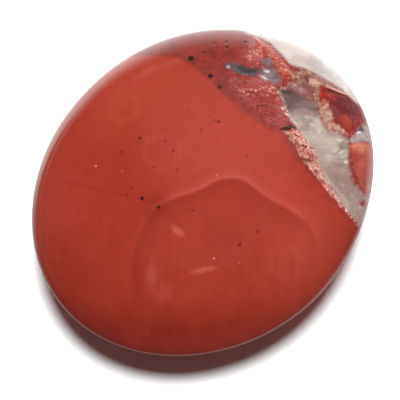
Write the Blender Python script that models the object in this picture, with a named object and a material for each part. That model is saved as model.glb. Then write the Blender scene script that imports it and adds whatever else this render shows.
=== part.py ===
"""A tumbled palm stone of red jasper, 49 mm long, modelled as one solid.

The pebble is a flattened egg shape with a full crown and a rounder belly, polished all over but for
one broken corner of the crown. A low facet with a soft rim is worn on the front of the crown.
In the broken corner the jasper is brecciated: rough and grainy, with a low ridge and two lenses,
split by a sunken quartz vein with two polished fragments beside it, and shouldered by white
quartz at the back.
The vein and its neighbours dip through the stone as sheets, so their outlines are given on the
plane square to the dip: "across" runs along +X, and "up" leans from +Y towards +Z.
The pebble rests at z = 0 on a small flat of its belly.
"""

from math import atan2, cos, exp, hypot, log1p, radians, sin

import bmesh
import bpy
import numpy as np
from mathutils import Vector, noise

# Driving dimensions of the polished pebble, in metres
WAIST_RADII = (
    0.0223, 0.0245, 0.0253, 0.0241, 0.0221, 0.0212,
    0.0221, 0.0243, 0.0256, 0.0243, 0.0224, 0.0214,
)  # every 30 degrees, turning from +X towards +Y
CROWN_RISE = 0.0073
BELLY_DROP = 0.0065
CROWN_FULLNESS = 2.4  # 2 is an ellipse, and more is flatter on top with a fuller rim
FRONT_LEANNESS = 0.8  # how much less full the crown is at its very front
BELLY_FULLNESS = 2.2
REST_CUT = 0.0002  # how much of the belly the flat that it rests on takes off
CROWN_SWELL = 0.00005  # height of the slow waves that tumbling leaves on the crown
CROWN_SWELL_SIZE = 0.009

# The facet worn on the front of the crown, seen from above
FACET_MIDDLE = (0.0020, -0.0120)
FACET_RADII = (
    0.0117, 0.0092, 0.0082, 0.0082, 0.0072, 0.0088,
    0.0102, 0.0120, 0.0104, 0.0073, 0.0074, 0.0086,
)  # every 30 degrees, turning from +X towards +Y
FACET_DEPTH = 0.00065  # in its middle, below the full crown
FACET_CRISP_PLACE = (0.004, -0.004)  # where its rim is crispest
FACET_CRISP_REACH = (0.009, 0.018)
FACET_EDGE = (0.06, 0.45)  # how round its rim is, where it is crispest and where softest

# The dip of the vein, and the outlines (across, up) of what lies in the broken corner
DIP = radians(60)
BROKEN_CORNER = (
    (0.0026, 0.0170), (0.0036, 0.0196), (0.0056, 0.0215), (0.0078, 0.0240), (0.0093, 0.0225),
    (0.0110, 0.0200), (0.0122, 0.0183), (0.0157, 0.0168), (0.0187, 0.0154), (0.0205, 0.0136),
    (0.0213, 0.0107), (0.0214, 0.0070), (0.0209, 0.0020), (0.0198, -0.0026), (0.0161, 0.0008),
    (0.0134, 0.0040), (0.0117, 0.0063), (0.0100, 0.0094), (0.0080, 0.0106), (0.0058, 0.0124),
    (0.0036, 0.0148),
)
MAIN_VEIN = (
    (0.0096, 0.0162), (0.0119, 0.0159), (0.0136, 0.0145), (0.0150, 0.0143), (0.0154, 0.0110),
    (0.0163, 0.0102), (0.0176, 0.0101), (0.0189, 0.0089), (0.0187, 0.0060), (0.0191, 0.0034),
    (0.0205, 0.0016), (0.0222, 0.0014), (0.0222, -0.0010), (0.0201, -0.0020), (0.0196, -0.0027),
    (0.0174, 0.0004), (0.0156, 0.0032), (0.0144, 0.0056), (0.0135, 0.0080), (0.0124, 0.0098),
    (0.0110, 0.0120), (0.0104, 0.0139),
)
LENSES = (
    (
        (0.0025, 0.0191), (0.0033, 0.0194), (0.0046, 0.0193), (0.0058, 0.0190), (0.0070, 0.0189),
        (0.0074, 0.0184), (0.0068, 0.0179), (0.0058, 0.0177), (0.0043, 0.0180), (0.0030, 0.0185),
    ),
    (
        (0.0072, 0.0180), (0.0077, 0.0188), (0.0078, 0.0201), (0.0088, 0.0202), (0.0094, 0.0188),
        (0.0103, 0.0172), (0.0097, 0.0167), (0.0080, 0.0170),
    ),
)
RIDGE = (
    (0.0069, 0.0232), (0.0089, 0.0218), (0.0106, 0.0195), (0.0118, 0.0174), (0.0116, 0.0168),
    (0.0104, 0.0171), (0.0094, 0.0193), (0.0078, 0.0213), (0.0069, 0.0219),
)
FRAGMENTS = (
    (
        (0.0154, 0.0163), (0.0176, 0.0156), (0.0189, 0.0152), (0.0205, 0.0138), (0.0225, 0.0130),
        (0.0225, 0.0112), (0.0210, 0.0112), (0.0202, 0.0104), (0.0190, 0.0097), (0.0181, 0.0102),
        (0.0171, 0.0109), (0.0167, 0.0118), (0.0162, 0.0128), (0.0154, 0.0136),
    ),
    (
        (0.0187, 0.0082), (0.0198, 0.0085), (0.0219, 0.0084), (0.0240, 0.0084), (0.0240, 0.0020),
        (0.0213, 0.0019), (0.0204, 0.0019), (0.0196, 0.0041), (0.0190, 0.0066),
    ),
)

# Relief of the broken corner, in metres along the surface's normal
BROKEN_DEPTH = 0.00035
BROKEN_EDGE = 0.0022
VEIN_DEPTH = 0.00040
VEIN_EDGE = (-0.0006, 0.0008)  # where its wall starts and ends, counted inwards from its outline
LENS_DEPTH = 0.00035
LENS_EDGE = 0.0007
RIDGE_HEIGHT = 0.00035
RIDGE_EDGE = (-0.0004, 0.0006)
FRAGMENT_EDGE = 0.0009
LUMPS = ((0.0024, 0.00024), (0.0011, 0.00012))  # each lump's size and height
SHOULDER_PLACE = (0.0142, 0.0212)
SHOULDER_SPREAD = 0.0026
SHOULDER_RISE = 0.00025
RELIEF_FADE = (0.0050, 0.0072)  # heights above the rest between which the relief comes in

# Mesh fineness
SPHERE_LEVEL = 5
CORNER_ROUNDS = 2  # times that the long edges of the broken corner are halved
CORNER_LONGEST_EDGE = 0.0008
CORNER_MARGIN = 0.0005

COLLECTION_NAME = "red_jasper_palm_stone"
PEBBLE_NAME = "pebble"
JASPER_RED = (0.42, 0.045, 0.026, 1.0)  # linear
JASPER_ROUGHNESS = 0.12

WAIST_WAVES = np.fft.rfft(WAIST_RADII) / len(WAIST_RADII)
FACET_WAVES = np.fft.rfft(FACET_RADII) / len(FACET_RADII)


def ease(value, start, end):
    """0 up to start, 1 from end, and a smooth step between them."""
    share = min(max((value - start) / (end - start), 0.0), 1.0)
    return share * share * (3 - 2 * share)


def curve_radius(angle, waves):
    """The radius, in one direction, of the smooth closed curve that is the sum of the waves."""
    last = len(waves) - 1
    radius = waves[0].real + waves[last].real * cos(last * angle)
    for order in range(1, last):
        wave = waves[order]
        radius += 2 * (wave.real * cos(order * angle) - wave.imag * sin(order * angle))
    return radius


def on_smooth_pebble(direction):
    """Where a direction from the middle of the waist meets the pebble's smooth form."""
    crown_fullness = CROWN_FULLNESS - FRONT_LEANNESS * min(direction.y, 0) ** 2
    fullness = crown_fullness if direction.z > 0 else BELLY_FULLNESS
    height = CROWN_RISE if direction.z > 0 else BELLY_DROP
    level = hypot(direction.x, direction.y)
    reach = (level**fullness + abs(direction.z) ** fullness) ** (-1 / fullness)
    radius = curve_radius(atan2(direction.y, direction.x), WAIST_WAVES)
    return Vector((radius * direction.x, radius * direction.y, height * direction.z)) * reach


def facet_depth(point):
    """How far a point is inside the facet's rim: 1 in its middle, 0 on the rim, less outside."""
    across, along = point.x - FACET_MIDDLE[0], point.y - FACET_MIDDLE[1]
    rim = curve_radius(atan2(along, across), FACET_WAVES)
    return 1 - (hypot(across, along) / rim) ** 2


def flattened(point):
    """A point of the smooth form, moved straight down by the depth of the facet."""
    off_crisp = hypot(point.x - FACET_CRISP_PLACE[0], point.y - FACET_CRISP_PLACE[1])
    crisp, soft = FACET_EDGE
    edge = crisp + (soft - crisp) * ease(off_crisp, *FACET_CRISP_REACH)
    inward = facet_depth(point) / edge
    cut = FACET_DEPTH * edge * (inward if inward > 30 else log1p(exp(inward)))
    cut *= ease(point.z, BELLY_DROP, BELLY_DROP + 0.5 * CROWN_RISE)
    return point - Vector((0, 0, cut))


def on_dip_plane(point):
    """A point's place (across, up) on the plane square to the dip."""
    return point.x, point.y * sin(DIP) + point.z * cos(DIP)


def depth_inside(place, outline):
    """The distance from a place to a closed outline, positive inside it."""
    x, y = place
    nearest = float("inf")
    inside = False
    for (ax, ay), (bx, by) in zip(outline, outline[1:] + outline[:1]):
        edge_x, edge_y = bx - ax, by - ay
        along = ((x - ax) * edge_x + (y - ay) * edge_y) / (edge_x**2 + edge_y**2)
        along = min(max(along, 0.0), 1.0)
        nearest = min(nearest, hypot(x - ax - along * edge_x, y - ay - along * edge_y))
        if (ay > y) != (by > y) and x < ax + (y - ay) * edge_x / edge_y:
            inside = not inside
    return nearest if inside else -nearest


def lumps_at(point):
    """Rough broken ground: a few sizes of rounded lumps, summed."""
    return sum(height * noise.noise(point / size) for size, height in LUMPS)


def relief_at(point):
    """How far the real surface stands proud of the smooth form."""
    place = on_dip_plane(point)
    broken = ease(depth_inside(place, BROKEN_CORNER), 0, BROKEN_EDGE)
    for outline in FRAGMENTS:
        broken *= 1 - ease(depth_inside(place, outline), 0, FRAGMENT_EDGE)
    vein = ease(depth_inside(place, MAIN_VEIN), *VEIN_EDGE)
    lens = max(ease(depth_inside(place, outline), 0, LENS_EDGE) for outline in LENSES)
    ridge = ease(depth_inside(place, RIDGE), *RIDGE_EDGE)
    grainy = broken * (1 - max(vein, lens))
    off_shoulder = hypot(place[0] - SHOULDER_PLACE[0], place[1] - SHOULDER_PLACE[1])
    height = SHOULDER_RISE * exp(-((off_shoulder / SHOULDER_SPREAD) ** 2))
    height += grainy * lumps_at(point)
    height -= broken * (BROKEN_DEPTH + VEIN_DEPTH * vein + LENS_DEPTH * lens)
    height += RIDGE_HEIGHT * ridge
    swell = CROWN_SWELL * noise.noise(point / CROWN_SWELL_SIZE)
    swell *= ease(point.z, BELLY_DROP, BELLY_DROP + 0.7 * CROWN_RISE)
    return swell + height * ease(point.z, *RELIEF_FADE)


def split_corner_edges(mesh):
    """Halves the unit sphere's edges that would be long across the broken corner."""
    for _ in range(CORNER_ROUNDS):
        chosen = []
        for edge in mesh.edges:
            ends = [on_smooth_pebble(vert.co) for vert in edge.verts]
            point = (ends[0] + ends[1]) / 2 + Vector((0, 0, BELLY_DROP))
            if point.z < RELIEF_FADE[0] or (ends[0] - ends[1]).length < CORNER_LONGEST_EDGE:
                continue
            if depth_inside(on_dip_plane(point), BROKEN_CORNER) > -CORNER_MARGIN:
                chosen.append(edge)
        bmesh.ops.subdivide_edges(mesh, edges=chosen, cuts=1, use_grid_fill=True)
        bmesh.ops.triangulate(mesh, faces=mesh.faces)
        for vert in mesh.verts:
            vert.co.normalize()


def centre_on_floor(mesh):
    """Moves the mesh so that its box is centred on the Z axis and stands on z = 0."""
    corners = np.array([vert.co for vert in mesh.verts])
    low, high = corners.min(axis=0), corners.max(axis=0)
    middle = (low + high) / 2
    bmesh.ops.translate(mesh, verts=mesh.verts, vec=(-middle[0], -middle[1], -low[2]))


def cut_rest(mesh):
    """Takes the foot of the belly off flat, and closes the cut with one face."""
    cut = bmesh.ops.bisect_plane(
        mesh,
        geom=mesh.verts[:] + mesh.edges[:] + mesh.faces[:],
        plane_co=(0, 0, REST_CUT),
        plane_no=(0, 0, -1),
        clear_outer=True,
    )
    rim = [item for item in cut["geom_cut"] if isinstance(item, bmesh.types.BMEdge)]
    bmesh.ops.holes_fill(mesh, edges=rim)
    bmesh.ops.recalc_face_normals(mesh, faces=mesh.faces)


def make_jasper():
    """Polished red jasper, a stone with no metal in it."""
    material = bpy.data.materials.new("polished_red_jasper")
    material.use_nodes = True
    shader = material.node_tree.nodes["Principled BSDF"]
    shader.inputs["Base Color"].default_value = JASPER_RED
    shader.inputs["Roughness"].default_value = JASPER_ROUGHNESS
    shader.inputs["Metallic"].default_value = 0.0
    return material


def make_pebble(collection):
    """The whole stone: the smooth form, its broken corner, and the flat that it rests on."""
    mesh = bmesh.new()
    bmesh.ops.create_icosphere(mesh, subdivisions=SPHERE_LEVEL, radius=1.0)
    split_corner_edges(mesh)
    for vert in mesh.verts:
        vert.co = on_smooth_pebble(vert.co)
    centre_on_floor(mesh)
    for vert in mesh.verts:
        vert.co = flattened(vert.co)
    mesh.normal_update()
    shifts = [vert.normal * relief_at(vert.co) for vert in mesh.verts]
    for vert, shift in zip(mesh.verts, shifts):
        vert.co += shift
    cut_rest(mesh)
    centre_on_floor(mesh)
    data = bpy.data.meshes.new(PEBBLE_NAME)
    mesh.to_mesh(data)
    mesh.free()
    data.shade_smooth()
    data.set_sharp_from_angle(angle=radians(40))
    data.materials.append(make_jasper())
    pebble = bpy.data.objects.new(PEBBLE_NAME, data)
    collection.objects.link(pebble)
    return pebble


for old in list(bpy.data.objects):
    bpy.data.objects.remove(old, do_unlink=True)
stone_parts = bpy.data.collections.new(COLLECTION_NAME)
bpy.context.scene.collection.children.link(stone_parts)
make_pebble(stone_parts)
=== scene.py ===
"""The looks of a tumbled red jasper palm stone with a brecciated, quartz-veined corner.

The stone is one piece on one body. Its fine mesh follows the same formula as the solid that it
replaces, and adds the grain of the broken corner. Units are metres, +Z up.
"""

from math import atan2, cos, radians, sin

import bmesh
import bpy
import numpy as np
from mathutils import Euler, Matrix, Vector, noise


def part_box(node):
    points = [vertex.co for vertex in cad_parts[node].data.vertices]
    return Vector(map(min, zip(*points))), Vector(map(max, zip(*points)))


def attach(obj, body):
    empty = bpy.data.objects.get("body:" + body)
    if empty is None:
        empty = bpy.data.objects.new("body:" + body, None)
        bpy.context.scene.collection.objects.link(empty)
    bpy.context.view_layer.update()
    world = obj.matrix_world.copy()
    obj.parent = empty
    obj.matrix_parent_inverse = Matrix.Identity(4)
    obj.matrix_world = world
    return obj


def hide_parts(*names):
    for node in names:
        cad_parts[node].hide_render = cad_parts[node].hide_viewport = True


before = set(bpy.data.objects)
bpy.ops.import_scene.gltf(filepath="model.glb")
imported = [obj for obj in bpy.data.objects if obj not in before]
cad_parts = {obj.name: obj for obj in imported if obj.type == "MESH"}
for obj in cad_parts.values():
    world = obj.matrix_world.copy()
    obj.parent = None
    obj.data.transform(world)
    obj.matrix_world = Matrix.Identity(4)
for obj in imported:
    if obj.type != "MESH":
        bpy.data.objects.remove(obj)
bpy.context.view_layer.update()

# The tumbled form
# A pebble ground round by months in a tumbling barrel: a flattened egg with a full crown and a
# rounder belly. A low facet is worn on the front of the crown, with a soft ridge at its back.
WAIST_RADII = (
    0.0223, 0.0245, 0.0253, 0.0241, 0.0221, 0.0212,
    0.0221, 0.0243, 0.0256, 0.0243, 0.0224, 0.0214,
)  # every 30 degrees, turning from +X towards +Y
CROWN_RISE = 0.0073
BELLY_DROP = 0.0065
CROWN_FULLNESS = 2.4  # 2 is an ellipse, and more is flatter on top with a fuller rim
FRONT_LEANNESS = 0.8  # how much less full the crown is at its very front
BELLY_FULLNESS = 2.2
REST_CUT = 0.0002
CROWN_SWELL = 0.00005  # the height of its slow swells
CROWN_SWELL_SIZE = 0.009
SWELL_FADE = (BELLY_DROP, BELLY_DROP + 0.7 * CROWN_RISE)  # they set in between these heights
FACET_MIDDLE = (0.0020, -0.0120)
FACET_RADII = (
    0.0117, 0.0092, 0.0082, 0.0082, 0.0072, 0.0088,
    0.0102, 0.0120, 0.0104, 0.0073, 0.0074, 0.0086,
)  # every 30 degrees, seen from above
FACET_DEPTH = 0.00065  # in its middle, below the full crown
FACET_FADE = (BELLY_DROP, BELLY_DROP + 0.5 * CROWN_RISE)  # it sets in between these heights
FACET_CRISP_PLACE = (0.004, -0.004)  # where its rim is crispest
FACET_CRISP_REACH = (0.009, 0.018)  # how far from there it starts and ends to soften
FACET_EDGE = (0.06, 0.45)  # how round its rim is, where it is crispest and where softest
SPHERE_LEVEL = 7  # how fine the triangles of the first sphere are


def ease(value, start, end):
    """0 up to start, 1 from end, and a smooth step between them."""
    share = np.clip((value - start) / (end - start), 0, 1)
    return share * share * (3 - 2 * share)


def curve_radius(angle, radii):
    """The radius of the smooth closed curve through evenly turned radii, at each angle."""
    waves = np.fft.rfft(radii) / len(radii)
    last = len(waves) - 1
    radius = waves[0].real + waves[last].real * np.cos(last * angle)
    for order in range(1, last):
        wave = waves[order]
        radius += 2 * (wave.real * np.cos(order * angle) - wave.imag * np.sin(order * angle))
    return radius


def on_smooth_pebble(directions):
    """Where directions from the middle of the waist meet the pebble's smooth form."""
    x, y, z = directions.T
    level = np.hypot(x, y)
    radius = curve_radius(np.arctan2(y, x), WAIST_RADII)
    crown_fullness = CROWN_FULLNESS - FRONT_LEANNESS * np.minimum(y, 0) ** 2
    fullness = np.where(z > 0, crown_fullness, BELLY_FULLNESS)
    height = np.where(z > 0, CROWN_RISE, BELLY_DROP)
    reach = (level**fullness + np.abs(z) ** fullness) ** (-1 / fullness)
    return np.stack([radius * x * reach, radius * y * reach, height * z * reach], axis=1)


def stood_on_floor(points):
    """The points moved so that their box is centred on the Z axis and stands on z = 0."""
    low, high = points.min(axis=0), points.max(axis=0)
    return points - [(low[0] + high[0]) / 2, (low[1] + high[1]) / 2, low[2]]


def facet_depth(points):
    """How far each point is inside the facet's rim: 1 in its middle, 0 on the rim, less outside."""
    off_middle = points[:, :2] - FACET_MIDDLE
    rim = curve_radius(np.arctan2(off_middle[:, 1], off_middle[:, 0]), FACET_RADII)
    return 1 - (np.linalg.norm(off_middle, axis=1) / rim) ** 2


def flattened(points):
    """The points with the facet that the barrel wore on the front of the crown."""
    off_crisp = np.linalg.norm(points[:, :2] - FACET_CRISP_PLACE, axis=1)
    crisp, soft = FACET_EDGE
    edge = crisp + (soft - crisp) * ease(off_crisp, *FACET_CRISP_REACH)
    cut = FACET_DEPTH * edge * np.logaddexp(0, facet_depth(points) / edge)
    cut *= ease(points[:, 2], *FACET_FADE)
    return points - cut[:, None] * [0, 0, 1]


# The broken corner
# Healed breccia that the tumbling never smoothed: grainy jasper round a sunken quartz vein, with
# two quartz lenses, a low ridge and two smooth fragments. Its layers dip through the stone, so
# each outline is given as (across, up) on the plane square to the dip.
DIP = radians(60)  # how steeply the layers run down towards the back
OUTLINES = {
    "breccia": (
        (-0.0300, 0.0206), (-0.0081, 0.0207), (-0.0041, 0.0203), (-0.0023, 0.0195),
        (-0.0012, 0.0185), (0.0006, 0.0167), (0.0025, 0.0146), (0.0045, 0.0129), (0.0066, 0.0111),
        (0.0080, 0.0100), (0.0101, 0.0095), (0.0117, 0.0063), (0.0134, 0.0040), (0.0151, 0.0019),
        (0.0171, -0.0002), (0.0198, -0.0027), (0.0230, -0.0056), (0.0400, -0.0100),
        (0.0400, 0.0400), (-0.0300, 0.0400),
    ),
    "broken": (
        (0.0026, 0.0170), (0.0036, 0.0196), (0.0056, 0.0215), (0.0078, 0.0240), (0.0093, 0.0225),
        (0.0110, 0.0200), (0.0122, 0.0183), (0.0157, 0.0168), (0.0187, 0.0154), (0.0205, 0.0136),
        (0.0213, 0.0107), (0.0214, 0.0070), (0.0209, 0.0020), (0.0198, -0.0026),
        (0.0161, 0.0008), (0.0134, 0.0040), (0.0117, 0.0063), (0.0100, 0.0094), (0.0080, 0.0106),
        (0.0058, 0.0124), (0.0036, 0.0148),
    ),
    "vein": (
        (0.0096, 0.0162), (0.0119, 0.0159), (0.0136, 0.0145), (0.0150, 0.0143), (0.0154, 0.0110),
        (0.0163, 0.0102), (0.0176, 0.0101), (0.0189, 0.0089), (0.0187, 0.0060), (0.0191, 0.0034),
        (0.0205, 0.0016), (0.0222, 0.0014), (0.0222, -0.0010), (0.0201, -0.0020), (0.0196, -0.0027),
        (0.0174, 0.0004), (0.0156, 0.0032), (0.0144, 0.0056), (0.0135, 0.0080), (0.0124, 0.0098),
        (0.0110, 0.0120), (0.0104, 0.0139),
    ),
    "slate": (
        (0.0025, 0.0191), (0.0033, 0.0194), (0.0046, 0.0193), (0.0058, 0.0190), (0.0070, 0.0189),
        (0.0074, 0.0184), (0.0068, 0.0179), (0.0058, 0.0177), (0.0043, 0.0180), (0.0030, 0.0185),
    ),
    "lilac": (
        (0.0072, 0.0180), (0.0077, 0.0188), (0.0078, 0.0201), (0.0088, 0.0202), (0.0094, 0.0188),
        (0.0103, 0.0172), (0.0097, 0.0167), (0.0080, 0.0170),
    ),
    "ridge": (
        (0.0069, 0.0232), (0.0089, 0.0218), (0.0106, 0.0195), (0.0118, 0.0174), (0.0116, 0.0168),
        (0.0104, 0.0171), (0.0094, 0.0193), (0.0078, 0.0213), (0.0069, 0.0219),
    ),
    "frost": (
        (0.0110, 0.0162), (0.0117, 0.0180), (0.0128, 0.0186), (0.0145, 0.0181), (0.0175, 0.0162),
        (0.0185, 0.0158), (0.0181, 0.0153), (0.0156, 0.0158), (0.0152, 0.0140), (0.0139, 0.0144),
        (0.0121, 0.0158),
    ),
    "upper_fragment": (
        (0.0154, 0.0163), (0.0176, 0.0156), (0.0189, 0.0152), (0.0205, 0.0138), (0.0225, 0.0130),
        (0.0225, 0.0112), (0.0210, 0.0112), (0.0202, 0.0104), (0.0190, 0.0097), (0.0181, 0.0102),
        (0.0171, 0.0109), (0.0167, 0.0118), (0.0162, 0.0128), (0.0154, 0.0136),
    ),
    "lower_fragment": (
        (0.0189, 0.0082), (0.0198, 0.0085), (0.0219, 0.0084), (0.0240, 0.0084), (0.0240, 0.0020),
        (0.0213, 0.0019), (0.0204, 0.0019), (0.0197, 0.0041), (0.0192, 0.0066),
    ),
    "gap": (
        (0.0189, 0.0089), (0.0197, 0.0096), (0.0209, 0.0108), (0.0240, 0.0108), (0.0240, 0.0087),
        (0.0206, 0.0086), (0.0192, 0.0085),
    ),
    "ledge": (
        (0.0101, 0.0097), (0.0114, 0.0104), (0.0125, 0.0100), (0.0140, 0.0080), (0.0149, 0.0057),
        (0.0157, 0.0033), (0.0174, 0.0004), (0.0196, -0.0024), (0.0198, -0.0027), (0.0172, -0.0001),
        (0.0154, 0.0020), (0.0139, 0.0040), (0.0128, 0.0055), (0.0118, 0.0071), (0.0108, 0.0088),
    ),
    "shoulder": (
        (0.0056, 0.0242), (0.0081, 0.0233), (0.0090, 0.0226), (0.0108, 0.0202), (0.0115, 0.0192),
        (0.0133, 0.0186), (0.0158, 0.0174), (0.0185, 0.0158), (0.0204, 0.0140), (0.0260, 0.0136),
        (0.0260, 0.0300), (0.0080, 0.0300),
    ),
}
BROKEN_DEPTH = 0.00035
BROKEN_EDGE = 0.0022
VEIN_DEPTH = 0.00040
VEIN_EDGE = (-0.0006, 0.0008)  # where its wall starts and ends, counted inwards from its outline
LENS_DEPTH = 0.00035
LENS_EDGE = 0.0007
RIDGE_HEIGHT = 0.00035
RIDGE_EDGE = (-0.0004, 0.0006)
FRAGMENT_EDGE = 0.0009
LUMPS = ((0.0024, 0.00024), (0.0011, 0.00012))  # each lump's size and height
CRYSTAL_SIZE = 0.00036
CRYSTAL_HEIGHT = 0.00006
CRYSTAL_TILT = 1.4  # how steep their facets lie, beside how they differ in height
TILT_SHUFFLE = 7.3  # gives each crystal a tilt of its own
HEIGHT_SHUFFLE = 5.1  # and a height
LEDGE_CRYSTALS = 2.2  # what the ledge adds: its crystals stand 3.2 times as high
LEDGE_EDGE = (-0.0001, 0.0001)
SHOULDER_PLACE = (0.0142, 0.0212)
SHOULDER_SPREAD = 0.0026
SHOULDER_RISE = 0.00025
RELIEF_FADE = (0.0050, 0.0072)  # the relief sets in between these heights
CORNER_ROUNDS = 2  # how often its long edges are halved
CORNER_LONGEST_EDGE = 0.00014
CORNER_MARGIN = 0.0008


def on_dip_plane(points):
    """The points' places (across, up) on the plane square to the dip."""
    return np.stack([points[:, 0], points[:, 1] * sin(DIP) + points[:, 2] * cos(DIP)], axis=1)


def depth_inside(places, outline):
    """The distance from each place to a closed outline, positive inside it."""
    nearest = np.full(len(places), np.inf)
    inside = np.zeros(len(places), dtype=bool)
    corners = np.array(outline)
    for start, end in zip(corners, np.roll(corners, -1, axis=0)):
        edge, offset = end - start, places - start
        along = np.clip(offset @ edge / (edge @ edge), 0, 1)
        nearest = np.minimum(nearest, np.linalg.norm(offset - along[:, None] * edge, axis=1))
        crosses = (start[1] > places[:, 1]) != (end[1] > places[:, 1])
        rise = edge[1] if edge[1] else np.inf
        inside ^= crosses & (places[:, 0] < start[0] + offset[:, 1] * edge[0] / rise)
    return np.where(inside, nearest, -nearest)


def noise_at(points, size):
    """Smooth noise with features of the given size, from about -1 to 1, at each point."""
    return np.array([noise.noise(Vector(point)) for point in points / size])


def crystals_at(points):
    """Sugary broken grains: each cell is one small facet with a height and a tilt of its own."""
    heights = []
    for point in points / CRYSTAL_SIZE:
        spot = Vector(point)
        centre = noise.voronoi(spot)[1][0]
        tilt = noise.cell_vector(centre * TILT_SHUFFLE) - Vector((0.5, 0.5, 0.5))
        height = noise.cell(centre * HEIGHT_SHUFFLE) - 0.5
        heights.append(height + CRYSTAL_TILT * tilt.dot(spot - centre))
    return np.array(heights)


def relief_at(points, depths):
    """How far the real surface stands proud of the smooth form."""
    broken = ease(depths["broken"], 0, BROKEN_EDGE)
    for name in ("upper_fragment", "lower_fragment"):
        broken = broken * (1 - ease(depths[name], 0, FRAGMENT_EDGE))
    vein = ease(depths["vein"], *VEIN_EDGE)
    lens = ease(np.maximum(depths["slate"], depths["lilac"]), 0, LENS_EDGE)
    off_shoulder = np.linalg.norm(on_dip_plane(points) - SHOULDER_PLACE, axis=1)
    height = SHOULDER_RISE * np.exp(-((off_shoulder / SHOULDER_SPREAD) ** 2))
    height -= broken * (BROKEN_DEPTH + VEIN_DEPTH * vein + LENS_DEPTH * lens)
    height += RIDGE_HEIGHT * ease(depths["ridge"], *RIDGE_EDGE)
    grainy = broken * (1 - np.maximum(vein, lens))
    rough = np.flatnonzero(grainy > 0)
    ground = sum(lump * noise_at(points[rough], size) for size, lump in LUMPS)
    boldness = 1 + LEDGE_CRYSTALS * ease(depths["ledge"][rough], *LEDGE_EDGE)
    ground += CRYSTAL_HEIGHT * boldness * crystals_at(points[rough])
    height[rough] += grainy[rough] * ground
    swell = CROWN_SWELL * noise_at(points, CROWN_SWELL_SIZE)
    swell *= ease(points[:, 2], *SWELL_FADE)
    return swell + height * ease(points[:, 2], *RELIEF_FADE)


# The specks
# Pinheads of black and brown hematite, plucked a little by the polishing, so that each sits in
# a shallow pit, and a few pinheads of white quartz.
SPECKS = (
    (-0.0019, 0.0200, 0.00040, 1.0), (0.0007, 0.0174, 0.00034, 1.0), (0.0019, 0.0158, 0.00026, 0.9),
    (-0.0001, 0.0209, 0.00024, 0.5), (0.0014, 0.0223, 0.00022, 0.7), (0.0030, 0.0217, 0.00024, 0.7),
    (0.0029, 0.0225, 0.00024, 0.5), (0.0055, 0.0225, 0.00024, 0.6), (0.0024, 0.0203, 0.00020, 0.5),
    (-0.0084, 0.0088, 0.00019, 0.8), (-0.0106, 0.0070, 0.00018, 0.6), (-0.0041, 0.0071, 0.00017, 0.6),
    (0.0012, 0.0112, 0.00013, 0.6), (0.0017, 0.0110, 0.00019, 0.8), (-0.0079, 0.0011, 0.00024, 1.0),
    (-0.0058, 0.0000, 0.00022, 1.0), (0.0064, -0.0030, 0.00017, 0.8), (0.0042, -0.0046, 0.00020, 0.7),
    (-0.0015, -0.0004, 0.00018, 0.6), (-0.0024, 0.0126, 0.00012, 0.5), (-0.0006, 0.0099, 0.00012, 0.6),
    (-0.0070, 0.0094, 0.00012, 0.4), (-0.0051, 0.0084, 0.00014, 0.5), (-0.0065, 0.0050, 0.00015, 0.7),
    (-0.0036, 0.0046, 0.00015, 0.4), (-0.0093, 0.0024, 0.00015, 0.5), (-0.0098, 0.0016, 0.00013, 0.5),
    (0.0053, 0.0064, 0.00012, 0.5), (-0.0033, -0.0059, 0.00013, 0.3), (-0.0101, -0.0049, 0.00014, 0.3),
    (0.0061, -0.0059, 0.00013, 0.4),
)  # (across, up, radius, darkness)
WHITE_SPECKS = (
    (-0.0139, 0.0052, 0.00012, 0.45), (-0.0105, 0.0045, 0.00010, 0.2), (0.0010, -0.0062, 0.00012, 0.6),
    (0.0041, -0.0068, 0.00010, 0.2), (0.0014, 0.0040, 0.00010, 0.3),
)  # (across, up, radius, strength)
SPECK_PIT = 0.00003
SPECK_PIT_EDGE = (-0.00010, 0.00015)
SPECK_ROUNDS = 3
SPECK_LONGEST_EDGE = 0.00008
SPECK_MARGIN = 0.0002


def nearest_speck(places, specks):
    """The depth of each place inside the nearest speck, and how strongly that speck shows."""
    depth = np.full(len(places), -1.0)
    strength = np.zeros(len(places))
    for across, up, radius, own_strength in specks:
        inward = radius - np.hypot(places[:, 0] - across, places[:, 1] - up)
        strength = np.where(inward > depth, own_strength, strength)
        depth = np.maximum(depth, inward)
    return depth, strength


# The mesh of the whole stone
# One skin over everything above: a sphere's fine triangles carried to the tumbled form, halved
# where the broken corner and the specks need it, and cut flat where the belly rests.


def coordinates(mesh):
    """The mesh's vertices as an array."""
    return np.array([vert.co for vert in mesh.verts])


def split_long_edges(mesh, longest, rounds, wanted):
    """Halves the unit sphere's edges that would be long where wanted(places, heights) is true."""
    for _ in range(rounds):
        mesh.verts.index_update()
        points = stood_on_floor(on_smooth_pebble(coordinates(mesh)))
        wanted_points = wanted(on_dip_plane(points), points[:, 2])
        ends = np.array([[vert.index for vert in edge.verts] for edge in mesh.edges])
        lengths = np.linalg.norm(points[ends[:, 0]] - points[ends[:, 1]], axis=1)
        chosen = (lengths > longest) & wanted_points[ends].any(axis=1)
        edges = [edge for edge, take in zip(mesh.edges, chosen) if take]
        bmesh.ops.subdivide_edges(mesh, edges=edges, cuts=1, use_grid_fill=True)
        for vert in mesh.verts:
            vert.co.normalize()
        bmesh.ops.triangulate(mesh, faces=mesh.faces)


def in_corner(places, heights):
    """True where the broken corner's relief shows."""
    near = depth_inside(places, OUTLINES["broken"]) > -CORNER_MARGIN
    return near & (heights > RELIEF_FADE[0])


def in_specks(places, heights):
    """True round the specks of the crown."""
    depth = nearest_speck(places, SPECKS + WHITE_SPECKS)[0]
    return (depth > -SPECK_MARGIN) & (heights > BELLY_DROP)


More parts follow.
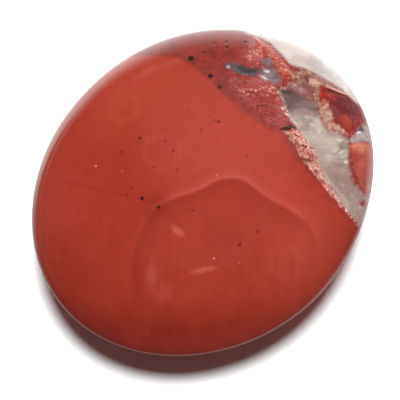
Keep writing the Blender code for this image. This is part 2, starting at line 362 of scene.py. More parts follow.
shape = bmesh.new()
bmesh.ops.create_icosphere(shape, subdivisions=SPHERE_LEVEL, radius=1.0)
split_long_edges(shape, CORNER_LONGEST_EDGE, CORNER_ROUNDS, in_corner)
split_long_edges(shape, SPECK_LONGEST_EDGE, SPECK_ROUNDS, in_specks)
smooth_points = flattened(stood_on_floor(on_smooth_pebble(coordinates(shape))))
for vert, point in zip(shape.verts, smooth_points):
    vert.co = point
shape.normal_update()
normals = np.array([vert.normal for vert in shape.verts])
places = on_dip_plane(smooth_points)
marks = {name: depth_inside(places, outline) for name, outline in OUTLINES.items()}
heights = relief_at(smooth_points, marks)
marks["speck"], marks["speck_darkness"] = nearest_speck(places, SPECKS)
marks["white_speck"], marks["white_speck_strength"] = nearest_speck(places, WHITE_SPECKS)
marks["facet"] = facet_depth(smooth_points)
on_crown = ease(smooth_points[:, 2], *RELIEF_FADE)
heights -= SPECK_PIT * on_crown * ease(marks["speck"], *SPECK_PIT_EDGE)
for vert, point in zip(shape.verts, smooth_points + normals * heights[:, None]):
    vert.co = point
for name, values in marks.items():
    mark = shape.verts.layers.float.new(name)
    for vert, value in zip(shape.verts, values):
        vert[mark] = value
cut = bmesh.ops.bisect_plane(
    shape,
    geom=shape.verts[:] + shape.edges[:] + shape.faces[:],
    plane_co=(0, 0, min(vert.co.z for vert in shape.verts) + REST_CUT),
    plane_no=(0, 0, -1),
    clear_outer=True,
)
rest_rim = [item for item in cut["geom_cut"] if isinstance(item, bmesh.types.BMEdge)]
bmesh.ops.holes_fill(shape, edges=rest_rim)
bmesh.ops.triangulate(shape, faces=[face for face in shape.faces if len(face.verts) > 3])
bmesh.ops.recalc_face_normals(shape, faces=shape.faces)
cad_low, cad_high = (Vector(corner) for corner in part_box("pebble"))
points = coordinates(shape)
middle = (points.min(axis=0) + points.max(axis=0)) / 2
cad_middle = (cad_low + cad_high) / 2
shift = (cad_middle.x - middle[0], cad_middle.y - middle[1], cad_low.z - points[:, 2].min())
bmesh.ops.translate(shape, verts=shape.verts, vec=shift)
stone_mesh = bpy.data.meshes.new("jasper_stone")
shape.to_mesh(stone_mesh)
shape.free()
stone_mesh.shade_smooth()
stone = bpy.data.objects.new("jasper_stone", stone_mesh)
bpy.context.scene.collection.objects.link(stone)

# The colours of the stone
# Quartz coloured by iron: opaque brick-red jasper, maroon where the iron is denser, and milky or
# smoky quartz where its cracks healed clean. Tumbled to a wet gloss, and sugary in the corner.
QUARTZ_IOR = 1.54
QUARTZ_CLEARNESS = 0.35  # how much light the vein and the shoulder let in
QUARTZ_GLOW = (0.0014, 0.0011, 0.0010)  # how far red, green and blue light run in them
GLOSS_ROUGHNESS = 0.09  # of the tumbled skin
GRAIN_ROUGHNESS = 0.34  # of the sugary ground
FRAGMENT_ROUGHNESS = 0.6
BRECCIA_DULLNESS = 0.35  # how far the maroon skin is on its way from gloss to grain
GRAIN_SIZE = 0.00025
GRAIN_BUMP = 0.00008
GRAIN_BUMP_STRENGTH = 0.6
WAIST_SHEEN = 0.0022  # how far above the waist the painted pale reflection begins
RING_HOLLOW = 0.8  # the inner radius of a ring, as a share of its outer one


def linear(hex_colour):
    """A colour in sRGB hex, such as A83A2C, as linear red, green, blue and alpha."""
    channels = [int(hex_colour[i : i + 2], 16) / 255 for i in (0, 2, 4)]
    straight = [c / 12.92 if c <= 0.04045 else ((c + 0.055) / 1.055) ** 2.4 for c in channels]
    return (*straight, 1.0)


def add(kind, sockets=None, result=0, **settings):
    """Adds a node with its settings, fills or links its sockets, and gives one of its outputs."""
    made = tree.nodes.new("ShaderNode" + kind)
    for name, value in settings.items():
        setattr(made, name, value)
    for key, value in (sockets or {}).items():
        if isinstance(value, bpy.types.NodeSocket):
            tree.links.new(value, made.inputs[key])
        else:
            made.inputs[key].default_value = value
    return made.outputs[result] if made.outputs else made


stone_material = bpy.data.materials.new("tumbled_red_jasper")
stone_material.use_nodes = True
tree = stone_material.node_tree
tree.nodes.clear()
COLOUR_MIX = {"result": 2, "data_type": "RGBA"}  # its factor is socket 0 and its colours 6 and 7
place = add("TexCoord", result="Object")
# X and Y of the dip plane's own places are (across, up), as in the outlines
dip_place = add("Mapping", {"Vector": place, "Rotation": (DIP - radians(90), 0, 0)})


def cloud(size, low=0.35, high=0.65, detail=3.0):
    """Cloudy noise with features of a real size, from 0 to 1 between two of its levels."""
    noise_sockets = {"Vector": place, "Scale": 1 / size, "Detail": detail}
    return add("MapRange", {0: add("TexNoise", noise_sockets), 1: low, 2: high})


def clouded(first, second, size, low=0.35, high=0.65, detail=3.0):
    """Two colours of stone run into each other in clouds of a real size."""
    sockets = {0: cloud(size, low, high, detail), 6: linear(first), 7: linear(second)}
    return add("Mix", sockets, **COLOUR_MIX)


def glints(size, share):
    """1 on those crystal faces of a real size that would catch the light, about a share of them all:
    the mask of painted glints.
    """
    faces = add("TexVoronoi", {"Vector": place, "Scale": 1 / size}, "Color")
    turn = add("SeparateColor", {0: faces}, "Red")
    lit = add("MapRange", {0: turn, 1: 1.0 - share, 2: 1.0 - 0.7 * share})
    off_middle = faces.node.outputs["Distance"]
    near_middle = add("MapRange", {0: off_middle, 1: 0.66, 2: 0.28})
    return both(lit, near_middle, cloud(0.7 * size, 0.40, 0.54, 2.0))


def inside(name, softness, ragged=0.0, ragged_size=0.0006):
    """1 inside one of the outlines, 0 outside, with an edge of a real softness and raggedness."""
    depth = add("Attribute", result="Fac", attribute_name=name)
    if ragged:
        wander = add("TexNoise", {"Vector": place, "Scale": 1 / ragged_size, "Detail": 3.0})
        wander = add("MapRange", {0: wander, 1: 0.3, 2: 0.7, 3: -ragged, 4: ragged})
        depth = add("Math", {0: depth, 1: wander}, operation="ADD")
    return add("MapRange", {0: depth, 1: -softness / 2, 2: softness / 2})


def patch(middle, half_size, turn, softness=0.5, ragged=0.25):
    """1 inside an oval on the dip plane, 0 outside, with a soft ragged edge."""
    reach = 1 + softness / 2 + ragged
    sockets = {
        "Vector": dip_place,
        "Location": (*middle, 0),
        "Rotation": (0, 0, radians(turn)),
        "Scale": (reach * half_size[0], reach * half_size[1], 1),
    }
    oval_place = add("Mapping", sockets, vector_type="TEXTURE")
    nearness = add("TexGradient", {0: oval_place}, "Fac", gradient_type="SPHERICAL")
    if ragged:
        wander = {"Vector": place, "Scale": 1 / (0.7 * min(half_size)), "Detail": 2.0}
        sway = ragged / reach
        wander = add("MapRange", {0: add("TexNoise", wander), 1: 0.3, 2: 0.7, 3: sway, 4: -sway})
        nearness = add("Math", {0: nearness, 1: wander}, operation="ADD")
    return add("MapRange", {0: nearness, 1: ragged / reach, 2: (ragged + softness) / reach})


def fade(start, end):
    """0 before one point on the dip plane, 1 past another, and rising straight between them."""
    run = Vector(end) - Vector(start)
    sockets = {
        "Vector": dip_place,
        "Location": (*start, 0),
        "Rotation": (0, 0, atan2(run.y, run.x)),
        "Scale": (run.length, 1, 1),
    }
    return add("TexGradient", {0: add("Mapping", sockets, vector_type="TEXTURE")}, "Fac")


def both(*shares):
    """The share of the surface that lies in all of several areas."""
    product = shares[0]
    for share in shares[1:]:
        product = add("Math", {0: product, 1: share}, operation="MULTIPLY")
    return product


def stained(stone_colour, tint, *areas):
    """A colour of the stone with a tint, as a socket or in hex, where all of the areas meet."""
    tint = linear(tint) if isinstance(tint, str) else tint
    return add("Mix", {0: both(*areas), 6: stone_colour, 7: tint}, **COLOUR_MIX)


def daubed(stone_colour, *daubs):
    """The colour with ovals on it, each a tint, its share of the colour and what patch() takes."""
    for tint, share, *oval in daubs:
        stone_colour = stained(stone_colour, tint, patch(*oval), share)
    return stone_colour


# Brick-red jasper with clouds, rings and scars, lighter on the crown as painted light, darker in front
# as painted shade, and with a painted pale reflection towards the waist
body = clouded("AF3929", "A83526", 0.012)
# Painted light: lighter ovals over the crown's middle and back, where the key falls most
body = stained(body, "BE4232", patch((0.0035, 0.0078), (0.0075, 0.0066), 0, 1.47, 0.0))
body = stained(body, "BE4A30", patch((-0.0075, 0.0160), (0.0080, 0.0040), 30, 1.6, 0.0), 0.5)
# Painted shade: darker towards the front, which turns away from the light
body = stained(body, "801C12", fade((0, -0.0108), (0, -0.0150)))
# Painted reflection: paler towards the waist, where the steep side mirrors the table's haze
down_to_waist_sheen = {
    "Vector": place,
    "Location": (0, 0, BELLY_DROP + WAIST_SHEEN),
    "Rotation": (0, radians(90), 0),
    "Scale": (WAIST_SHEEN, 1, 1),
}
down_to_waist_sheen = add("Mapping", down_to_waist_sheen, vector_type="TEXTURE")
waist_sheen = add("TexGradient", {0: down_to_waist_sheen}, "Fac")
body = stained(body, "A84A40", waist_sheen, 0.5)
# Painted light: the lighter ovals on the right, along the ridge's right end and on the left side stand
# for where the key falls, and the dark oval low on the left is painted shade
body = daubed(
    body,
    ("C04838", 0.7, (-0.0089, 0.0175), (0.0055, 0.0032), 35, 1.4, 0.0),
    ("C24C3E", 0.9, (0.0120, -0.0045), (0.0045, 0.0055), 0, 1.6, 0.0),
    ("CC4A38", 0.4, (0.0100, 0.0021), (0.0032, 0.0016), -45, 1.4, 0.0),
    ("C04A40", 0.4, (-0.0200, -0.0010), (0.0030, 0.0065), 0, 1.6, 0.0),
    ("962C20", 0.4, (-0.0166, -0.0078), (0.0030, 0.0040), 0, 1.4, 0.0),
    ("B6402F", 0.5, (0.0030, -0.0100), (0.0150, 0.0060), 0, 1.6, 0.0),
)
body = stained(body, "C24636", cloud(0.0030, 0.45, 0.75), 0.25)
body = stained(body, "86261A", cloud(0.0012, 0.45, 0.80, 5.0), 0.18)
drawn_out = add("Mapping", {"Vector": dip_place, "Scale": (1.0, 0.12, 0)})
streaks = add("TexNoise", {"Vector": drawn_out, "Scale": 1 / 0.0010, "Detail": 2.0})
streaks = add("MapRange", {0: streaks, 1: 0.45, 2: 0.70})
for middle, radius in (
    ((-0.0107, 0.0129), 0.0021),
    ((-0.0054, 0.0069), 0.0025),
    ((0.0098, -0.0068), 0.0021),
):
    hollow = RING_HOLLOW * radius
    outer = patch(middle, (radius, radius), 0, 0.4, 0.15)
    inner = patch(middle, (hollow, hollow), 0, 0.4, 0.15)
    ring = add("Math", {0: outer, 1: inner}, operation="SUBTRACT", use_clamp=True)
    body = stained(body, "D06452", ring, 0.17)
body = stained(body, "90281C", streaks, fade((0, 0.0023), (0, -0.0049)), 0.18)
body = stained(body, "D86A58", cloud(0.00030, 0.50, 0.75), 0.10)
# Painted highlights: two small glints on the facet and two soft pale patches below them; the thin dark
# oval is a hairline scar
body = daubed(
    body,
    ("F08068", 0.40, (-0.0034, -0.0030), (0.0008, 0.0004), -35, 1.2, 0.1),
    ("F08068", 0.35, (-0.0003, -0.0077), (0.0013, 0.0003), 12, 1.2, 0.1),
    ("D86C68", 0.30, (-0.0066, -0.0083), (0.0006, 0.0013), 0, 1.4),
    ("D8685A", 0.18, (-0.0052, -0.0104), (0.0010, 0.0009), 0, 1.4),
    ("7A2018", 0.25, (-0.0129, 0.0020), (0.0075, 0.00012), -13, 1.2, 0.4),
)

# A painted highlight behind the facet's ridge, and painted shade in the facet just below it and along
# its left side. The mark that they follow is 0 on the facet's rim, 1 in its middle and less than 0
# outside it.
facet = add("Attribute", result="Fac", attribute_name="facet")
painted_ridge_highlight = add("MapRange", {0: facet, 1: -0.60, 2: 0.0})
painted_ridge_highlight = both(painted_ridge_highlight, painted_ridge_highlight, add("MapRange", {0: facet, 1: 0.02, 2: -0.03}))
painted_ridge_highlight = both(painted_ridge_highlight, patch((0.0040, 0.0033), (0.0110, 0.0100), 0, 0.55, 0.0))
body = stained(body, "D2584A", painted_ridge_highlight, 0.60)
facet_top_shade = add("MapRange", {0: facet, 1: 0.0, 2: 0.10})
facet_top_shade = both(facet_top_shade, add("MapRange", {0: facet, 1: 0.75, 2: 0.10}))
facet_top_shade = both(facet_top_shade, fade((0, -0.0060), (0, 0.0010)))
body = stained(body, "9A2C1E", facet_top_shade, 0.60)
facet_side_shade = add("MapRange", {0: facet, 1: -0.06, 2: 0.04})
facet_side_shade = both(facet_side_shade, add("MapRange", {0: facet, 1: 0.40, 2: 0.02}))
facet_side_shade = both(facet_side_shade, patch((-0.0088, -0.0050), (0.0036, 0.0090), -8, 1.0, 0.0))
body = stained(body, "86261A", facet_side_shade, 0.30)
body = stained(body, "86241A", patch((-0.0064, 0.0000), (0.0013, 0.0022), -35, 1.2), 0.4)

# Maroon jasper, denser in iron, between the red body and the broken ground
dark_seep = cloud(0.00055, 0.54, 0.66, 3.0)
maroon = clouded("8A342C", "9E3A31", 0.0018, 0.4, 0.6)
maroon = stained(maroon, "6A2420", dark_seep, 0.35)
colour = stained(body, maroon, inside("breccia", 0.0006, 0.00012))

# Broken jasper: sugary red ground with painted glints, as pale strokes, in a few patches
painted_sparkle = glints(0.00052, 0.7)
grain = clouded("8A302E", "A83E36", 0.0008, 0.40, 0.60, 4.0)
grain = stained(grain, "C05E54", cloud(0.00045, 0.54, 0.68, 2.0), 0.45)
grain = stained(grain, "702024", dark_seep, 0.5)
# The last oval, pale along the top rim, is a painted reflection
grain = daubed(
    grain,
    ("C86A60", 0.5, (0.0066, 0.0206), (0.0012, 0.0014), 0, 0.8),
    ("C46058", 0.5, (0.0076, 0.0159), (0.0022, 0.0010), -10, 1.0),
    ("C87068", 0.4, (0.0100, 0.0125), (0.0009, 0.0016), 10, 1.0),
    ("E0A8A0", 0.5, (0.0060, 0.0232), (0.0030, 0.0010), -20, 1.0),
)
grain = stained(grain, "D07A70", painted_sparkle, 0.25)
for middle, half_size, turn in (
    ((0.0062, 0.0152), (0.0016, 0.0006), 0),
    ((0.0066, 0.0206), (0.0010, 0.0013), 0),
    ((0.0089, 0.0153), (0.0009, 0.0013), 20),
):
    grain = stained(grain, "F0AE9C", painted_sparkle, patch(middle, half_size, turn, 0.8, 0.4), 0.8)
broken_share = inside("broken", 0.0014, 0.0004)
colour = stained(colour, grain, broken_share)

# The white quartz shoulder behind, with thin grey veils and two greyer ovals of painted shade
lengthways = {"Vector": dip_place, "Rotation": (0, 0, radians(-62)), "Scale": (0.35, 1, 0)}
veils = {"Vector": add("Mapping", lengthways), "Scale": 1 / 0.0012, "Detail": 2.0, "Distortion": 0.3}
veils = add("MapRange", {0: add("TexNoise", veils), 1: 0.36, 2: 0.64})
milk = clouded("DCC8BC", "F0E4DC", 0.0022)
milk = stained(milk, "C8B8B8", veils, 0.35)
milk = stained(milk, "BCA8A8", patch((0.0149, 0.0196), (0.0012, 0.0007), -20, 1.0), 0.7)
milk = stained(milk, "BEB2AC", patch((0.0158, 0.0184), (0.0020, 0.0009), -38, 1.2), 0.8)
shoulder_share = inside("shoulder", 0.0005, 0.00012)
colour = stained(colour, milk, shoulder_share)

# Frosted ground where quartz and jasper mix, with a few dark pits
frost = clouded("845048", "B07C6C", 0.0008, 0.42, 0.58, 3.0)
frost = stained(frost, "DCA890", cloud(0.0006, 0.52, 0.62, 2.0), 0.8)
frost = daubed(
    frost,
    ("8E544E", 0.7, (0.0137, 0.0156), (0.0009, 0.0013), 0, 1.0),
    ("AC8C90", 0.6, (0.0121, 0.0151), (0.0010, 0.0010), 0, 1.0),
    ("E8BCA8", 0.8, (0.0145, 0.0166), (0.0008, 0.0004), -10, 1.0, 0.4),
    ("7E4444", 1.0, (0.0124, 0.0182), (0.0007, 0.00022), 0, 0.7),
    ("7A3E32", 1.0, (0.0137, 0.0169), (0.00022, 0.0005), 0, 0.7),
    ("9A4640", 0.8, (0.0118, 0.0168), (0.0004, 0.0003), 0, 0.7),
)
colour = stained(colour, frost, inside("frost", 0.0007, 0.00025))

# The orange-red ridge, with painted glints on its crystals
ridge = clouded("B04234", "C65C4A", 0.0007)
ridge = stained(ridge, "8E3028", dark_seep, 0.6)
ridge = stained(ridge, "EE9E8C", painted_sparkle, 0.8)
colour = stained(colour, ridge, inside("ridge", 0.0005, 0.00015))

# The vein: smoky quartz at its top, milky in the middle and rosy grey at its foot
vein = add("Mix", {0: veils, 6: linear("765B57"), 7: linear("9C7C78")}, **COLOUR_MIX)
milky = fade((0, 0.0130), (0, 0.0104))
vein = stained(vein, "C2B0A6", milky, veils)
vein = stained(vein, "BCA89E", milky, 0.5)
vein = stained(vein, "E8DED2", cloud(0.0009, 0.52, 0.68, 1.5), milky, 0.6)
vein = stained(vein, "D4CABC", patch((0.0150, 0.0106), (0.0010, 0.0010), 0, 1.0, 0.4), 0.6)
vein = stained(vein, "E0CEC0", patch((0.0157, 0.0082), (0.0020, 0.0024), 20, 1.2), 0.5)
vein = stained(vein, clouded("A2847C", "B69B92", 0.0016), fade((0, 0.0060), (0, 0.0042)))
vein = stained(vein, "CDBCB2", cloud(0.0008, 0.60, 0.70, 1.5), fade((0, 0.0076), (0, 0.0056)), 0.5)
vein = stained(vein, "9A7C74", patch((0.0160, 0.0030), (0.0010, 0.0030), 25, 1.0), 0.5)
vein = stained(vein, "58403E", patch((0.0106, 0.0156), (0.0017, 0.0010), -20, 0.9), 0.9)
vein_depth = add("Attribute", result="Fac", attribute_name="vein")
ledge_depth = add("Attribute", result="Fac", attribute_name="ledge")
# Rosy where the quartz thins out against the ledge
near_ledge = add("MapRange", {0: ledge_depth, 1: -0.0022, 2: -0.0008})
near_ledge = both(near_ledge, add("MapRange", {0: vein_depth, 1: 0.0018, 2: 0.0002}))
vein = stained(vein, "CDB0A2", near_ledge, 0.40)
vein_share = inside("vein", 0.0005, 0.00012)
colour = stained(colour, vein, vein_share)
# Painted glints on pale crystals line its body side: 4x(1 - x) is 1 where x is a half, which is on its
# outline
vein_edge = inside("vein", 0.0007)
vein_edge = both(vein_edge, add("Math", {0: 1.0, 1: vein_edge}, operation="SUBTRACT"), 4.0)
vein_edge = both(vein_edge, patch((0.0105, 0.0132), (0.0012, 0.0032), 10, 0.5))
colour = stained(colour, "F2C4B0", vein_edge, painted_sparkle)
# Two painted highlights on crystals at its edge
colour = stained(colour, "F6D2C2", patch((0.0101, 0.0128), (0.00028, 0.00013), -45, 0.6))
colour = stained(colour, "F6D2C2", patch((0.0107, 0.0120), (0.00034, 0.00014), -35, 0.6))

# The upper fragment: maroon and orange-red jasper with a smooth dull face, and peach quartz beside it
upper = clouded("8C2420", "B0302A", 0.0012, 0.42, 0.58)
upper = stained(upper, "640A12", patch((0.0188, 0.0132), (0.0024, 0.0018), -40, 0.7), 0.85)
upper = stained(upper, "4E0C14", cloud(0.0006, 0.55, 0.62, 2.0), 0.5)
upper = stained(upper, "7E444A", patch((0.0174, 0.0118), (0.0005, 0.0015), 20, 0.7), 0.6)
orange = clouded("9C3226", "B24438", 0.0008)
upper = stained(upper, orange, patch((0.0186, 0.0110), (0.0009, 0.0011), 20, 0.5))
# Painted glints on its face
upper = stained(upper, "D0806C", glints(0.00050, 0.3), 0.3)
upper_share = inside("upper_fragment", 0.0003, 0.0001)
colour = stained(colour, upper, upper_share)
# A dark line along its top edge, with a painted highlight just above it
colour = stained(colour, "4A1418", patch((0.0173, 0.0152), (0.0014, 0.00014), -18, 0.7))
colour = stained(colour, "F0BCA8", patch((0.0178, 0.0155), (0.0016, 0.00014), -20, 0.7, 0.5), 0.8)
peach = clouded("A87062", "DCB09C", 0.0006)
colour = stained(colour, peach, patch((0.0160, 0.0119), (0.0008, 0.0020), 12, 0.6, 0.35))
colour = stained(colour, peach, patch((0.0176, 0.0101), (0.0010, 0.0004), -35, 0.6, 0.35))

# The two lenses: one of dark smoky quartz and one of grey-lilac quartz with painted white highlights
slate = clouded("50464A", "5E5458", 0.0009)
slate = stained(slate, "6A5258", patch((0.0038, 0.0190), (0.0010, 0.0007), 0, 1.0), 0.7)
slate = stained(slate, "443C38", patch((0.0060, 0.0182), (0.0012, 0.0005), 0, 1.0), 0.6)
colour = stained(colour, slate, inside("slate", 0.0005, 0.00012))
colour = stained(colour, "D4BCC2", patch((0.0031, 0.0186), (0.00024, 0.00024), 0, 0.9), 0.7)
lilac = clouded("84686C", "9C8284", 0.0008)
lilac = stained(lilac, "74504E", dark_seep, 0.4)
lilac = daubed(
    lilac,
    ("DCD0D2", 1.0, (0.0083, 0.0181), (0.00042, 0.00018), -10, 0.8),
    ("E8DCDC", 1.0, (0.0079, 0.0171), (0.00050, 0.00020), -30, 0.8),
    ("86443F", 0.85, (0.0080, 0.0189), (0.0011, 0.0003), -15, 0.8, 0.5),
)
colour = stained(colour, lilac, inside("lilac", 0.0005, 0.00018))

# The ledge of peach crystals along the vein, shaded on its body side, with a crack at its head
crystal_cells = {"Vector": place, "Scale": 1 / 0.00058}
crystals = clouded("B4483C", "E29886", 0.0009, 0.40, 0.56, 2.0)
crystals = stained(crystals, "F2A68E", fade((0, 0.0060), (0, 0.0080)), 0.5)
crystals = stained(crystals, "F0A08E", patch((0.0109, 0.0096), (0.0010, 0.0007), 0, 1.0), 0.6)
crystal_tone = add("SeparateColor", {0: add("TexVoronoi", crystal_cells, "Color")}, "Red")
crystals = stained(crystals, "FFCEBC", crystal_tone, 0.95)
crystal_gap = add("TexVoronoi", crystal_cells, feature="DISTANCE_TO_EDGE")
crystals = stained(crystals, "A8443A", add("MapRange", {0: crystal_gap, 1: 0.14, 2: 0.0, 4: 0.9}))
crystals = stained(crystals, "8E3830", cloud(0.0007, 0.56, 0.64, 2.0))
crystals = stained(crystals, "A8745E", patch((0.0145, 0.0057), (0.0011, 0.0006), -20, 1.0), 0.6)
crystals = stained(crystals, "86381F", patch((0.0131, 0.0058), (0.0005, 0.0004), 0, 0.8, 0.4), 0.9)
ledge_share = inside("ledge", 0.0002, 0.00015)
colour = stained(colour, crystals, ledge_share)
colour = stained(colour, "96423E", patch((0.0114, 0.0078), (0.0006, 0.0020), 25, 1.2), 0.5)
colour = stained(colour, "3E1A1C", patch((0.0107, 0.0101), (0.0010, 0.00026), 12, 0.7))

# The lower fragment of orange-red jasper, the quartz gap above it and the crystals beside it
lower = clouded("AC483E", "C65E50", 0.0012)
lower = stained(lower, "E08468", patch((0.0202, 0.0078), (0.0013, 0.0008), -10, 0.9), 0.85)
lower = stained(lower, "8C3028", cloud(0.0006, 0.55, 0.65, 2.0), 0.4)
lower_share = inside("lower_fragment", 0.0003, 0.0001)
colour = stained(colour, lower, lower_share)
gap = clouded("968280", "C2ACA8", 0.0009)
gap = stained(gap, "40303A", patch((0.0206, 0.0103), (0.0005, 0.0005), 30, 0.9))
# A painted white highlight on the gap
gap = stained(gap, "E8E0E2", patch((0.0203, 0.0097), (0.00035, 0.00015), 10, 0.7))
colour = stained(colour, gap, inside("gap", 0.0003, 0.0001))
colour = daubed(
    colour,
    ("94806E", 0.7, (0.0180, 0.0077), (0.0006, 0.0010), 0, 0.8),
    ("E4DED2", 1.0, (0.0177, 0.0086), (0.00034, 0.00014), 10, 0.9, 0.6),
    ("DED6CA", 1.0, (0.0177, 0.0070), (0.00050, 0.00018), 30, 0.9, 0.6),
    ("ECC8C4", 1.0, (0.0182, 0.0057), (0.00025, 0.00020), 0, 0.7),
    ("98343C", 1.0, (0.0205, 0.0003), (0.0006, 0.0005), 0, 0.7),
)

# A painted pale reflection round the corner's steep rim, where the surface turns away from above, and
# the specks over everything
facing_up = add("SeparateXYZ", {0: add("TexCoord", result="Normal")}, "Z")
rim = add("MapRange", {0: facing_up, 1: 0.72, 2: 0.38})
rim = both(rim, fade((0.0194, 0), (0.0212, 0)), fade((0, -0.0040), (0, -0.0015)))
colour = stained(colour, "ECC4BE", rim, inside("breccia", 0.001), 0.85)
white_strength = add("Attribute", result="Fac", attribute_name="white_speck_strength")
colour = stained(colour, "EAD0C8", inside("white_speck", 0.00016), white_strength)
speck_darkness = add("Attribute", result="Fac", attribute_name="speck_darkness")
speck_share = both(inside("speck", 0.00024, 0.00004, 0.0003), speck_darkness)
colour = stained(colour, "2E1210", speck_share)

# The finish: a wet gloss, duller over the maroon, sugary on broken ground, dull on the fragments
grainy_share = add("Math", {0: broken_share, 1: ledge_share}, operation="MAXIMUM")
clear_share = add("Math", {0: vein_share, 1: shoulder_share}, operation="MAXIMUM")
rough_share = add("Math", {0: grainy_share, 1: vein_share}, operation="SUBTRACT", use_clamp=True)
dull_share = both(inside("breccia", 0.0012), BRECCIA_DULLNESS)
dull_share = add("Math", {0: dull_share, 1: rough_share}, operation="MAXIMUM")
fragment_share = add("Math", {0: upper_share, 1: lower_share}, operation="MAXIMUM")
fragment_roughness = both(fragment_share, FRAGMENT_ROUGHNESS)
roughness = add("MapRange", {0: dull_share, 3: GLOSS_ROUGHNESS, 4: GRAIN_ROUGHNESS})
roughness = add("Math", {0: roughness, 1: fragment_roughness}, operation="MAXIMUM")
grain_bump = {
    "Strength": both(rough_share, GRAIN_BUMP_STRENGTH),
    "Distance": GRAIN_BUMP,
    "Height": add("TexNoise", {"Vector": place, "Scale": 1 / GRAIN_SIZE, "Detail": 3.0}),
}
stone_shader = {
    "Base Color": colour,
    "Roughness": roughness,
    "IOR": QUARTZ_IOR,
    "Subsurface Weight": both(clear_share, QUARTZ_CLEARNESS),
    "Subsurface Radius": QUARTZ_GLOW,
    "Subsurface Scale": 1.0,
    "Normal": add("Bump", grain_bump, "Normal"),
}
add("OutputMaterial", {"Surface": add("BsdfPrincipled", stone_shader)})
stone_mesh.materials.append(stone_material)
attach(stone, "root")
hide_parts("pebble")

# The table
# A white paper sheet, overexposed to the camera. The stone mirrors it bright behind and dark in
# front, on the side of the camera.
TABLE_REACH = 1.5
TABLE_SEEN = (1.54, 1.61, 1.61, 1.0)  # how bright the camera sees it
TABLE_BOUNCE = 0.95  # how much light it throws on the stone
TABLE_MIRRORED = (0.06, 1.7)  # how bright the stone mirrors it, in front and behind
TABLE_FALL = (-0.35, 0.94, 0)  # towards its bright side
TABLE_FALL_REACH = (-0.008, 0.030)
SHEET_EDGE = (1.0, 0.65, 0)  # square to its near left edge
SHEET_EDGE_REACH = (-0.045, -0.030)
PAST_SHEET = 0.1  # what is left of the mirrored brightness past that edge
NEAR_STONE = (0.026, 0.034)
NEAR_STONE_MIRRORED = 0.6
floor_shape = bmesh.new()
bmesh.ops.create_grid(floor_shape, x_segments=1, y_segments=1, size=TABLE_REACH)
floor_mesh = bpy.data.meshes.new("table")
floor_shape.to_mesh(floor_mesh)
floor_shape.free()
floor = bpy.data.objects.new("table", floor_mesh)
bpy.context.scene.collection.objects.link(floor)
floor_material = bpy.data.materials.new("white_paper_sheet")
floor_material.use_nodes = True
tree = floor_material.node_tree
tree.nodes.clear()
sheet_place = add("TexCoord", result="Object")
to_back = add("VectorMath", {0: sheet_place, 1: TABLE_FALL}, "Value", operation="DOT_PRODUCT")
dark, bright = TABLE_MIRRORED
start, end = TABLE_FALL_REACH
mirrored = add("MapRange", {0: to_back, 1: start, 2: end, 3: dark, 4: bright})
past_edge = add("VectorMath", {0: sheet_place, 1: SHEET_EDGE}, "Value", operation="DOT_PRODUCT")
start, end = SHEET_EDGE_REACH
on_sheet = add("MapRange", {0: past_edge, 1: start, 2: end, 3: PAST_SHEET, 4: 1.0})
mirrored = add("Math", {0: mirrored, 1: on_sheet}, operation="MULTIPLY")
off_stone = add("VectorMath", {0: sheet_place}, "Value", operation="LENGTH")
start, end = NEAR_STONE
near_stone = add("MapRange", {0: off_stone, 1: start, 2: end, 3: NEAR_STONE_MIRRORED, 4: 0.0})
mirrored = add("Math", {0: mirrored, 1: near_stone}, operation="MAXIMUM")
to_stone = {0: add("LightPath", result="Is Glossy Ray"), 2: TABLE_BOUNCE, 3: mirrored}
to_stone = add("Mix", to_stone, data_type="FLOAT")
sheet_colour = {0: add("LightPath", result="Is Camera Ray"), 6: to_stone, 7: TABLE_SEEN}
sheet_colour = add("Mix", sheet_colour, **COLOUR_MIX)
add("OutputMaterial", {"Surface": add("BsdfDiffuse", {"Color": sheet_colour})})
floor_mesh.materials.append(floor_material)

# The light
# One soft key nearly overhead, which lights the stone and isn't mirrored in it, and a dim room
# whose few glows are mirrored: the wall behind, and soft lamps over the stone.
ROOM_FILL = 0.026
ROOM_MIRRORED = 0.05
ROOM_LIGHTS = (
    # elevation and azimuth in degrees, radius, soft edge, strength
    (50, 12, 16, 14, 0.33),  # a wide haze behind the stone
    (24, -16, 3.0, 3, 0.35),  # two low lamps behind it
    (25, -8, 3.0, 3, 0.35),
    (70, 6, 3.5, 4, 0.21),  # a row of high lamps from behind round to its right
    (69, 20, 3.5, 4, 0.21),
    (67, 34, 3.5, 4, 0.21),
    (66, 48, 3.5, 4, 0.21),
    (65, 61, 3.5, 4, 0.21),
    (64, 74, 3.5, 4, 0.2),
    (63, 87, 3.5, 4, 0.2),
)
BACK_WALL_POLE = (-0.233, -0.152, 0.961)  # square to the wall's upper edge
BACK_WALL_EDGE = (0.20, -0.06)
BACK_WALL = 1.5
BEHIND = (0.0, 0.5)
KEY_ELEVATION = 79.6
KEY_AZIMUTH = 14
KEY_REACH = 1.2
KEY_SIZE = 0.60
KEY_POWER = 15.2


def direction_to(elevation, azimuth):
    """The direction of a place in the room, from degrees above the table and from +Y to +X."""
    rise, turn = radians(elevation), radians(azimuth)
    return Vector((cos(rise) * sin(turn), cos(rise) * cos(turn), sin(rise)))


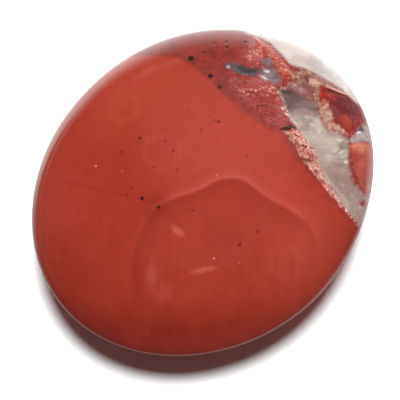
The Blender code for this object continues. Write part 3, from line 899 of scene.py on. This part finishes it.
world = bpy.data.worlds.new("dim_room")
bpy.context.scene.world = world
world.use_nodes = True
tree = world.node_tree
tree.nodes.clear()
direction = add("TexCoord", result="Generated")
mirrored = ROOM_MIRRORED
for elevation, azimuth, radius, edge, strength in ROOM_LIGHTS:
    toward = direction_to(elevation, azimuth)
    along = add("VectorMath", {0: direction, 1: toward}, "Value", operation="DOT_PRODUCT")
    inner, outer = cos(radians(radius - edge / 2)), cos(radians(radius + edge / 2))
    glow = add("MapRange", {0: along, 1: outer, 2: inner, 3: 0.0, 4: strength})
    mirrored = add("Math", {0: mirrored, 1: glow}, operation="ADD")
to_pole = add("VectorMath", {0: direction, 1: BACK_WALL_POLE}, "Value", operation="DOT_PRODUCT")
start, end = BACK_WALL_EDGE
wall = add("MapRange", {0: to_pole, 1: start, 2: end, 3: 0.0, 4: BACK_WALL})
start, end = BEHIND
behind = add("MapRange", {0: add("SeparateXYZ", {0: direction}, "Y"), 1: start, 2: end})
wall = add("Math", {0: wall, 1: behind}, operation="MULTIPLY")
mirrored = add("Math", {0: mirrored, 1: wall}, operation="ADD")
to_stone = {0: add("LightPath", result="Is Glossy Ray"), 2: ROOM_FILL, 3: mirrored}
to_stone = add("Mix", to_stone, data_type="FLOAT")
seen = {0: add("LightPath", result="Is Camera Ray"), 2: to_stone, 3: 1.0}
seen = add("Mix", seen, data_type="FLOAT")
add("OutputWorld", {"Surface": add("Background", {"Color": (1, 1, 1, 1), "Strength": seen})})

key_data = bpy.data.lights.new("softbox", "AREA")
key_data.shape = "DISK"
key_data.size = KEY_SIZE
key_data.energy = KEY_POWER
key = bpy.data.objects.new("softbox", key_data)
key.location = KEY_REACH * direction_to(KEY_ELEVATION, KEY_AZIMUTH)
key.rotation_euler = (-key.location).to_track_quat("-Z", "Y").to_euler()
key.visible_glossy = False
bpy.context.scene.collection.objects.link(key)

# The camera
# It looks down on the stone at 60 degrees from the front, close, through a long lens.
CAMERA_PLACE = (-0.00068, -0.07563, 0.13257)
CAMERA_TILT = radians(30)
camera_data = bpy.data.cameras.new("camera")
camera_data.lens = 100
camera_data.sensor_width = 36
camera_data.clip_start = 0.01
camera = bpy.data.objects.new("camera", camera_data)
camera.location = CAMERA_PLACE
camera.rotation_euler = Euler((CAMERA_TILT, 0, 0))
bpy.context.scene.collection.objects.link(camera)
bpy.context.scene.camera = camera
bpy.context.scene.view_settings.view_transform = "Standard"
